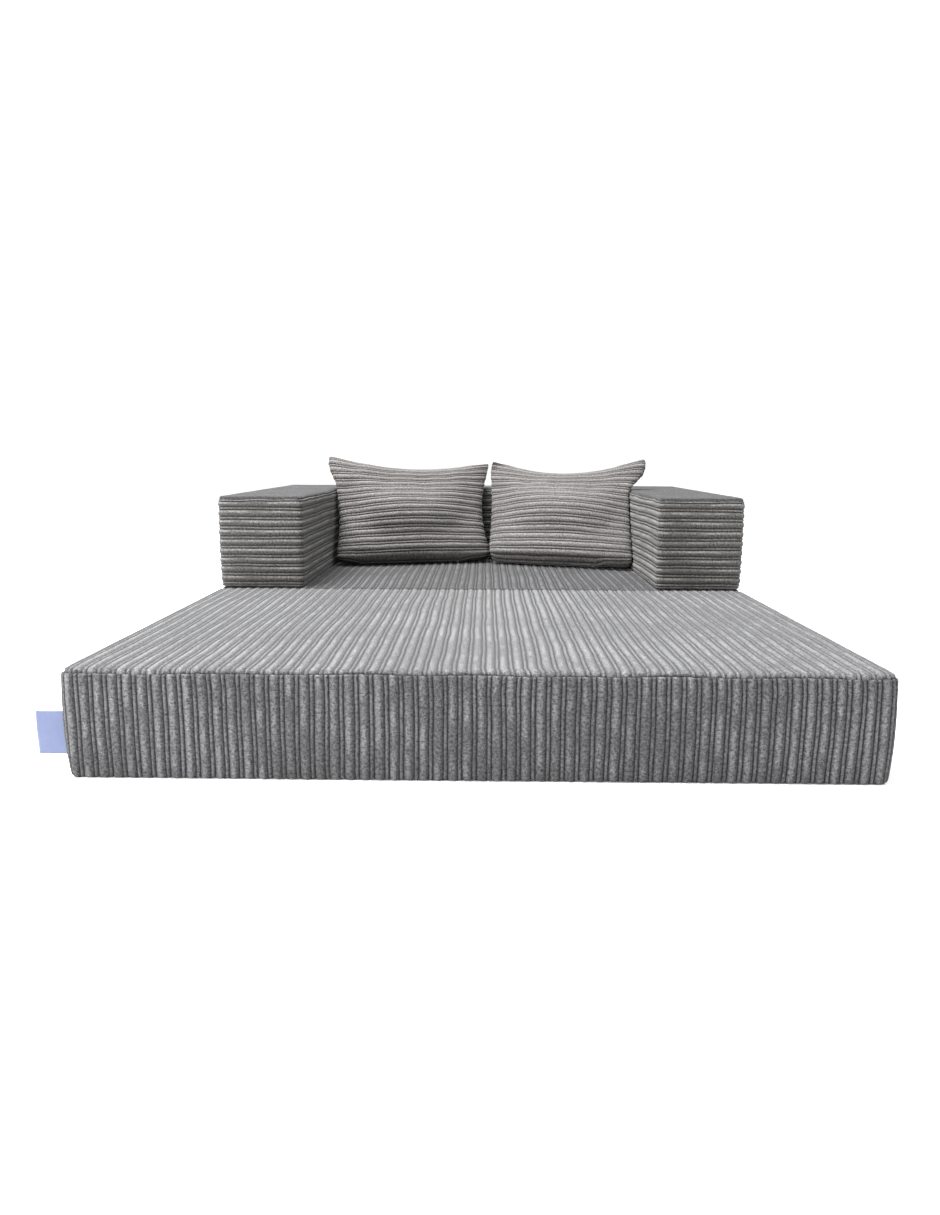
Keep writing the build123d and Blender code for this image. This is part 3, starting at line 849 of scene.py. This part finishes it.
def fibre(name):
    """Siliconised polyester fibre, loose: white, matt and woolly, in curls 11 mm apart, painted darker in the
    hollows between them as shade.
    """
    material, shader, add = new_material(name)
    spot = add("TexCoord", output="Object")
    curls = add(
        "TexNoise", {"Vector": spot, "Scale": 90.0, "Detail": 6.0, "Roughness": 0.7, "Distortion": 2.0}
    )
    shade = add("Mix", {0: curls, 6: "#dcdbd6", 7: "#fbfaf6"}, 2, data_type="RGBA")
    bump = add("Bump", {"Height": curls, "Strength": 1.0, "Distance": 0.004})
    set_inputs(shader, {"Base Color": shade, "Normal": bump, "Roughness": 0.9})
    return material


# On the pillows too the painted highlight lies on each wide wale's upper shoulder
pillow_highlight = ((0.0094, 0.0074), (9.0, 0.40))
pillow_corduroy = corduroy("plush_corduroy_pillows", "#4e4c4b", "#2a2929", "#5f5d5c", *pillow_highlight)
fibre_fill = fibre("siliconised_polyester_fibre")
left_stand = standing((-0.2603, 0.1368, 0.3819), lean=22, turn=15.5)
right_stand = standing((0.2561, 0.1114, 0.3753), lean=28, turn=-20.5)
left_cut = PillowCut(
    top=0.622, bottom=0.572, ears=0.209, shift=0.019, askew=0.036, tilt=-0.014, sags=(0.036, 0.042, 0.050)
)
right_cut = PillowCut(
    top=0.596, bottom=0.540, ears=0.229, shift=0.036, askew=-0.10, tilt=0.006, sags=(0.012, 0.036, 0.072)
)
pillow("left_pillow", left_cut, 11, left_stand, -1)
pillow("right_pillow", right_cut, 27, right_stand, 1)


# Zips: each cover closes with a nylon coil zip on woven polyester tape, let into the cloth. Its slider is
# cast zinc. The tapes, sliders and pull tabs keep their CAD shapes; the coils are drawn tooth by tooth.

tooth_pitch = 0.0025
tooth_sway = 0.0005
tooth_halves = (0.0019, 0.0007, 0.0010)
tooth_edge = 0.0003
zip_recess = 0.0015
zip_past_slot = 0.006
pillow_zip_face = -0.1805
pillow_zip_length = 0.354


def woven(name, light, dark, pitch, first, second, sheen):
    """Woven yarn, polyester or cotton, matt or with a sheen: a fine over-and-under grid on two axes, drawn
    coarser than the real one, and painted darker between the yarns as shade."""
    material, shader, add = new_material(name)
    spot = add("TexCoord", output="Object")
    rate = math.pi / 10 / pitch
    waves = {"Vector": spot, "Scale": rate}
    warp = add("TexWave", waves, 1, bands_direction=first)
    weft = add("TexWave", waves, 1, bands_direction=second)
    yarn = add("Math", {0: warp, 1: weft}, operation="MULTIPLY")
    fluff = add("TexNoise", {"Vector": spot, "Scale": 160.0, "Detail": 3.0})
    # Painted shade between the yarns, with a random fluff over it
    yarn_shade_and_fluff = add("Math", {0: yarn, 1: fluff}, operation="ADD")
    tone = add("MapRange", {"Value": yarn_shade_and_fluff, "From Min": 0.4, "From Max": 1.4})
    shade = add("Mix", {0: tone, 6: dark, 7: light}, 2, data_type="RGBA")
    bump = add("Bump", {"Height": yarn, "Strength": 0.6, "Distance": pitch / 3})
    set_inputs(shader, {"Base Color": shade, "Normal": bump, "Roughness": 0.75, "Sheen Weight": sheen})
    return material


def speckled(name, light, dark, scale, roughness, metallic):
    """Nylon coil or cast and tumbled zinc alloy: an even tone with fine specks that also break up the
    gloss."""
    material, shader, add = new_material(name)
    spot = add("TexCoord", output="Object")
    specks = add("TexNoise", {"Vector": spot, "Scale": scale, "Detail": 4.0})
    shade = add("Mix", {0: specks, 6: dark, 7: light}, 2, data_type="RGBA")
    gloss = add("MapRange", {"Value": specks, "To Min": roughness - 0.1, "To Max": roughness + 0.1})
    bump = add("Bump", {"Height": specks, "Strength": 0.2, "Distance": 0.0002})
    set_inputs(shader, {"Base Color": shade, "Roughness": gloss, "Normal": bump, "Metallic": metallic})
    return material


def zip_teeth(owner, body, middle, way, out, length):
    """The coil of one zip: closed loops in a row, from its middle along way, with their faces turned out."""
    teeth = bmesh.new()
    across = way.cross(out)
    turned = Matrix((across, out, way)).transposed().to_4x4() @ Matrix.Diagonal((*tooth_halves, 1))
    for k in range(round(length / tooth_pitch)):
        along = way * ((k + 0.5) * tooth_pitch - length / 2)
        spot = middle + along + across * (tooth_sway if k % 2 else -tooth_sway)
        bmesh.ops.create_cone(
            teeth, segments=8, radius1=1, radius2=1, depth=2, cap_ends=True,
            matrix=Matrix.Translation(spot) @ turned,
        )
    rims = [e for e in teeth.edges if any(len(f.verts) == 8 for f in e.link_faces)]
    bmesh.ops.bevel(teeth, geom=rims, offset=tooth_edge, segments=1, profile=0.5, affect="EDGES", material=-1)
    piece = make_piece(owner + "_zip_teeth", [teeth], zip_nylon)
    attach(piece, body)
    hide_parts(owner + "_zip_coil")


def block_zip(part, body, shape):
    """The coil of a block's zip, let into the middle of its side at the zip's height."""
    out = (Vector((-1, 0, 0)), Vector((0, -1, 0)), Vector((1, 0, 0)), Vector((0, 1, 0)))[shape.zip_side]
    reach = (shape.half_y if shape.zip_side % 2 else shape.half_x) - zip_recess
    middle = shape.middle + out * reach
    middle.z = shape.low.z + zip_line
    way = Vector((-out.y, out.x, 0))
    zip_teeth(part, body, middle, way, out, 2 * shape.zip_half + zip_past_slot)


zip_weave = woven("woven_polyester_tape", "#48484b", "#2a2a2c", 0.0012, "X", "Z", 0.2)
zip_nylon = speckled("nylon_coil", "#4c4c4f", "#333336", 900.0, 0.40, 0.0)
zip_zinc = speckled("cast_zinc_alloy", "#a3a3a6", "#77777b", 500.0, 0.36, 1.0)
for part, body, shape in blocks:
    block_zip(part, body, shape)
for body, stand in (("left_pillow", left_stand), ("right_pillow", right_stand)):
    foot = stand @ Vector((0, pillow_zip_face, 0))
    zip_teeth(body, body, foot, stand.col[0].to_3d(), -stand.col[1].to_3d(), pillow_zip_length)
for owner in ("seat", "mattress", "left_arm", "right_arm", "back", "left_pillow", "right_pillow"):
    bpy.data.objects[owner + "_zip_tape"].data.materials[0] = zip_weave
    bpy.data.objects[owner + "_zip_slider"].data.materials[0] = zip_zinc
for owner in ("seat", "mattress", "back"):
    bpy.data.objects[owner + "_zip_pull"].data.materials[0] = zip_zinc


# Base cloths: thin polyester with rows of soft PVC dots, under each block, so that it doesn't slide.
# The edge is tucked up into the seam at the cover's foot.

base_tuck = 0.003
base_rise = 0.0018
base_rim_rise = 0.0050
base_rim = 0.001
base_wave, base_wave_rate = 0.0003, 14
base_steps = 24


def dotted(name):
    """Black polyester with PVC dots 8 mm apart: dull cloth and slightly shiny dots that stand up."""
    material, shader, add = new_material(name)
    spot = add("TexCoord", output="Object")
    flat = add("VectorMath", {0: spot, 1: (1, 1, 0)}, operation="MULTIPLY")
    centres = add(
        "TexVoronoi", {"Vector": flat, "Scale": 125.0, "Randomness": 0.0}, "Distance",
        voronoi_dimensions="2D",
    )
    dot = add(
        "MapRange", {"Value": centres, "From Min": 0.18, "From Max": 0.25, "To Min": 1.0, "To Max": 0.0}
    )
    shade = add("Mix", {0: dot, 6: "#38383a", 7: "#1d1d1e"}, 2, data_type="RGBA")
    gloss = add("MapRange", {"Value": dot, "To Min": 0.85, "To Max": 0.45})
    bump = add("Bump", {"Height": dot, "Strength": 0.8, "Distance": 0.0006})
    set_inputs(shader, {"Base Color": shade, "Roughness": gloss, "Normal": bump})
    return material


def base_lines(length):
    """Mesh lines across a base cloth, from its middle, with one beside each stitched edge."""
    room = length - 2 * base_tuck
    lines = [0, base_tuck, *(base_tuck + room * k / base_steps for k in range(1, base_steps))]
    return [line - length / 2 for line in (*lines, length - base_tuck, length)]


def base_cloth(part, body):
    """One base cloth, a little slack between its stitched edges."""
    low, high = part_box(part + "_base_cloth")
    size, middle = high - low, (low + high) / 2
    cloth = cut_cloth(base_lines(size.x), base_lines(size.y))
    for v in cloth.verts:
        x, y = v.co.xy
        rim = min(size.x / 2 - abs(x), size.y / 2 - abs(y)) < base_rim
        wave = base_wave * noise.noise(Vector((x * base_wave_rate, y * base_wave_rate, middle.x)))
        v.co = Vector((middle.x + x, middle.y + y, low.z + (base_rim_rise if rim else base_rise + wave)))
    bmesh.ops.reverse_faces(cloth, faces=cloth.faces)
    smooth(cloth)
    piece = make_piece(part + "_dotted_base_cloth", [cloth], non_slip)
    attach(piece, body)
    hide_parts(part + "_base_cloth")


non_slip = dotted("dotted_non_slip_polyester")
for part, body, shape in blocks:
    base_cloth(part, body)


# Hinge strip: one length of stout cotton twill under the seam between seat and front mattress, sewn to
# both. The mattress swings down and back about it, under the seat.

strip_low, strip_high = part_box("hinge_strip_mattress_side")
strip_width = strip_high.x - strip_low.x
strip_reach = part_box("hinge_strip_seat_side")[1].y - strip_low.y
strip_rise = 0.0006
strip_wave, strip_wave_rate = 0.0002, 20
strip = cut_cloth(
    [strip_low.x + strip_width * k / 60 for k in range(61)],
    [strip_low.y + strip_reach * k / 50 for k in range(51)],
)
for v in strip.verts:
    wave = noise.noise(Vector((v.co.x * strip_wave_rate, v.co.y * strip_wave_rate, 5)))
    v.co.z = strip_rise + strip_wave * wave
bmesh.ops.reverse_faces(strip, faces=strip.faces)
smooth(strip)
twill = woven("cotton_twill", "#5a5a5c", "#303032", 0.0014, "X", "Y", 0.1)
hinge_strip = make_piece("hinge_strip_twill", [strip], twill)
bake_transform(hinge_strip)
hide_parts("hinge_strip_mattress_side", "hinge_strip_seat_side")


# Hook-and-loop strips: woven nylon bands sewn under the arms and the back rest, with hooks, and on the
# seat below them, with loops. They hold the three down, and keep their CAD shapes.

def tufted(name, light, dark, pitch, depth, randomness):
    """Nylon hooks or loops on a woven band: a close field of small raised tips, a little over 2 mm apart,
    coarser than the real ones, painted darker between the tips as shade."""
    material, shader, add = new_material(name)
    spot = add("TexCoord", output="Object")
    field = {"Vector": spot, "Scale": 1 / pitch, "Randomness": randomness}
    tips = add("TexVoronoi", field, "Distance")
    shade = add("Mix", {0: tips, 6: light, 7: dark}, 2, data_type="RGBA")
    bump = add("Bump", {"Height": tips, "Strength": 1.0, "Distance": depth}, invert=True)
    set_inputs(shader, {"Base Color": shade, "Normal": bump, "Roughness": 0.7})
    return material


nylon_hooks = tufted("nylon_hook_band", "#4d4d50", "#1b1b1d", 0.0022, 0.0010, 0.15)
nylon_loops = tufted("nylon_loop_band", "#5b5b5f", "#2a2a2d", 0.0026, 0.0008, 1.0)
for owner in ("left_arm", "right_arm", "back"):
    bpy.data.objects[owner + "_hook_strip"].data.materials[0] = nylon_hooks
    bpy.data.objects[owner + "_loop_strip"].data.materials[0] = nylon_loops


# Side tag: a satin ribbon folded in half, with its two ends caught in the corner seam of the front
# mattress. The fold stands out to the left, and the ribbon is bare.

tag_low, tag_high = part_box("side_tag")
tag_reach = tag_high.x - tag_low.x
tag_middle = (tag_low.y + tag_high.y) / 2
tag_foot = tag_low.z + 0.006
tag_height = tag_high.z - tag_low.z + 0.005
tag_fold = 0.0009
tag_bend = math.pi / 2 * tag_fold
tag_sag, tag_sag_rate = 0.0016, 46
tag_crease, tag_crease_rate = 0.0008, 30
tag = cut_cloth([k / 40 for k in range(41)], [tag_foot + tag_height * k / 24 for k in range(25)])
for v in tag.verts:
    run, z = (v.co.x * 2 - 1) * tag_reach, v.co.y
    bend = min(1, max(-1, run / tag_bend)) * math.pi / 2
    sag = tag_sag * math.sin(z * tag_sag_rate) * (1 - abs(run) / tag_reach)
    sag += tag_crease * noise.noise(Vector((run * tag_crease_rate, z * tag_crease_rate, 2)))
    x = tag_low.x + tag_fold * (1 - math.cos(bend)) + max(0, abs(run) - tag_bend)
    v.co = Vector((min(tag_high.x, x), tag_middle + tag_fold * math.sin(bend) + sag, z))
smooth(tag)
satin = woven("polyester_satin", "#46506f", "#3e4763", 0.0010, "X", "Z", 0.35)
tag_ribbon = make_piece("side_tag_ribbon", [tag], satin)
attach(tag_ribbon, "front_mattress")
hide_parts("side_tag")


# Studio: a pale floor, one large soft lamp overhead, a little to the left, a small one at each side and
# light from all round.

floor_drop = 0.0005

bpy.context.scene.view_settings.view_transform = "Standard"
floor_mesh = bmesh.new()
bmesh.ops.create_grid(floor_mesh, x_segments=1, y_segments=1, size=60)
floor_paint, floor_shader = new_material("studio_floor")[:2]
set_inputs(floor_shader, {"Base Color": "#e2e2e2", "Roughness": 0.9})
floor = make_piece("studio_floor", [floor_mesh], floor_paint)
floor.location.z = -floor_drop

world = bpy.data.worlds.new("studio")
world.use_nodes = True
set_inputs(world.node_tree.nodes["Background"], {"Color": (1, 1, 1, 1), "Strength": 1.34})
bpy.context.scene.world = world


def soft_lamp(name, spot, target, size, power):
    """A square soft box turned towards its target."""
    data = bpy.data.lights.new(name, "AREA")
    data.size, data.energy = size, power
    lamp = bpy.data.objects.new(name, data)
    lamp.location = spot
    lamp.rotation_euler = (Vector(target) - Vector(spot)).to_track_quat("-Z", "Y").to_euler()
    bpy.context.scene.collection.objects.link(lamp)


soft_lamp("key_soft_box", (-1.6, -1.1, 4.9), (0, -0.5, 0.2), 3.0, 1380)
soft_lamp("side_soft_box", (-2.6, -3.2, 1.1), (-0.4, -1.0, 0.25), 1.4, 155)
soft_lamp("fill_soft_box", (3.0, -0.7, 2.0), (-0.3, 0, 0.4), 1.4, 70)
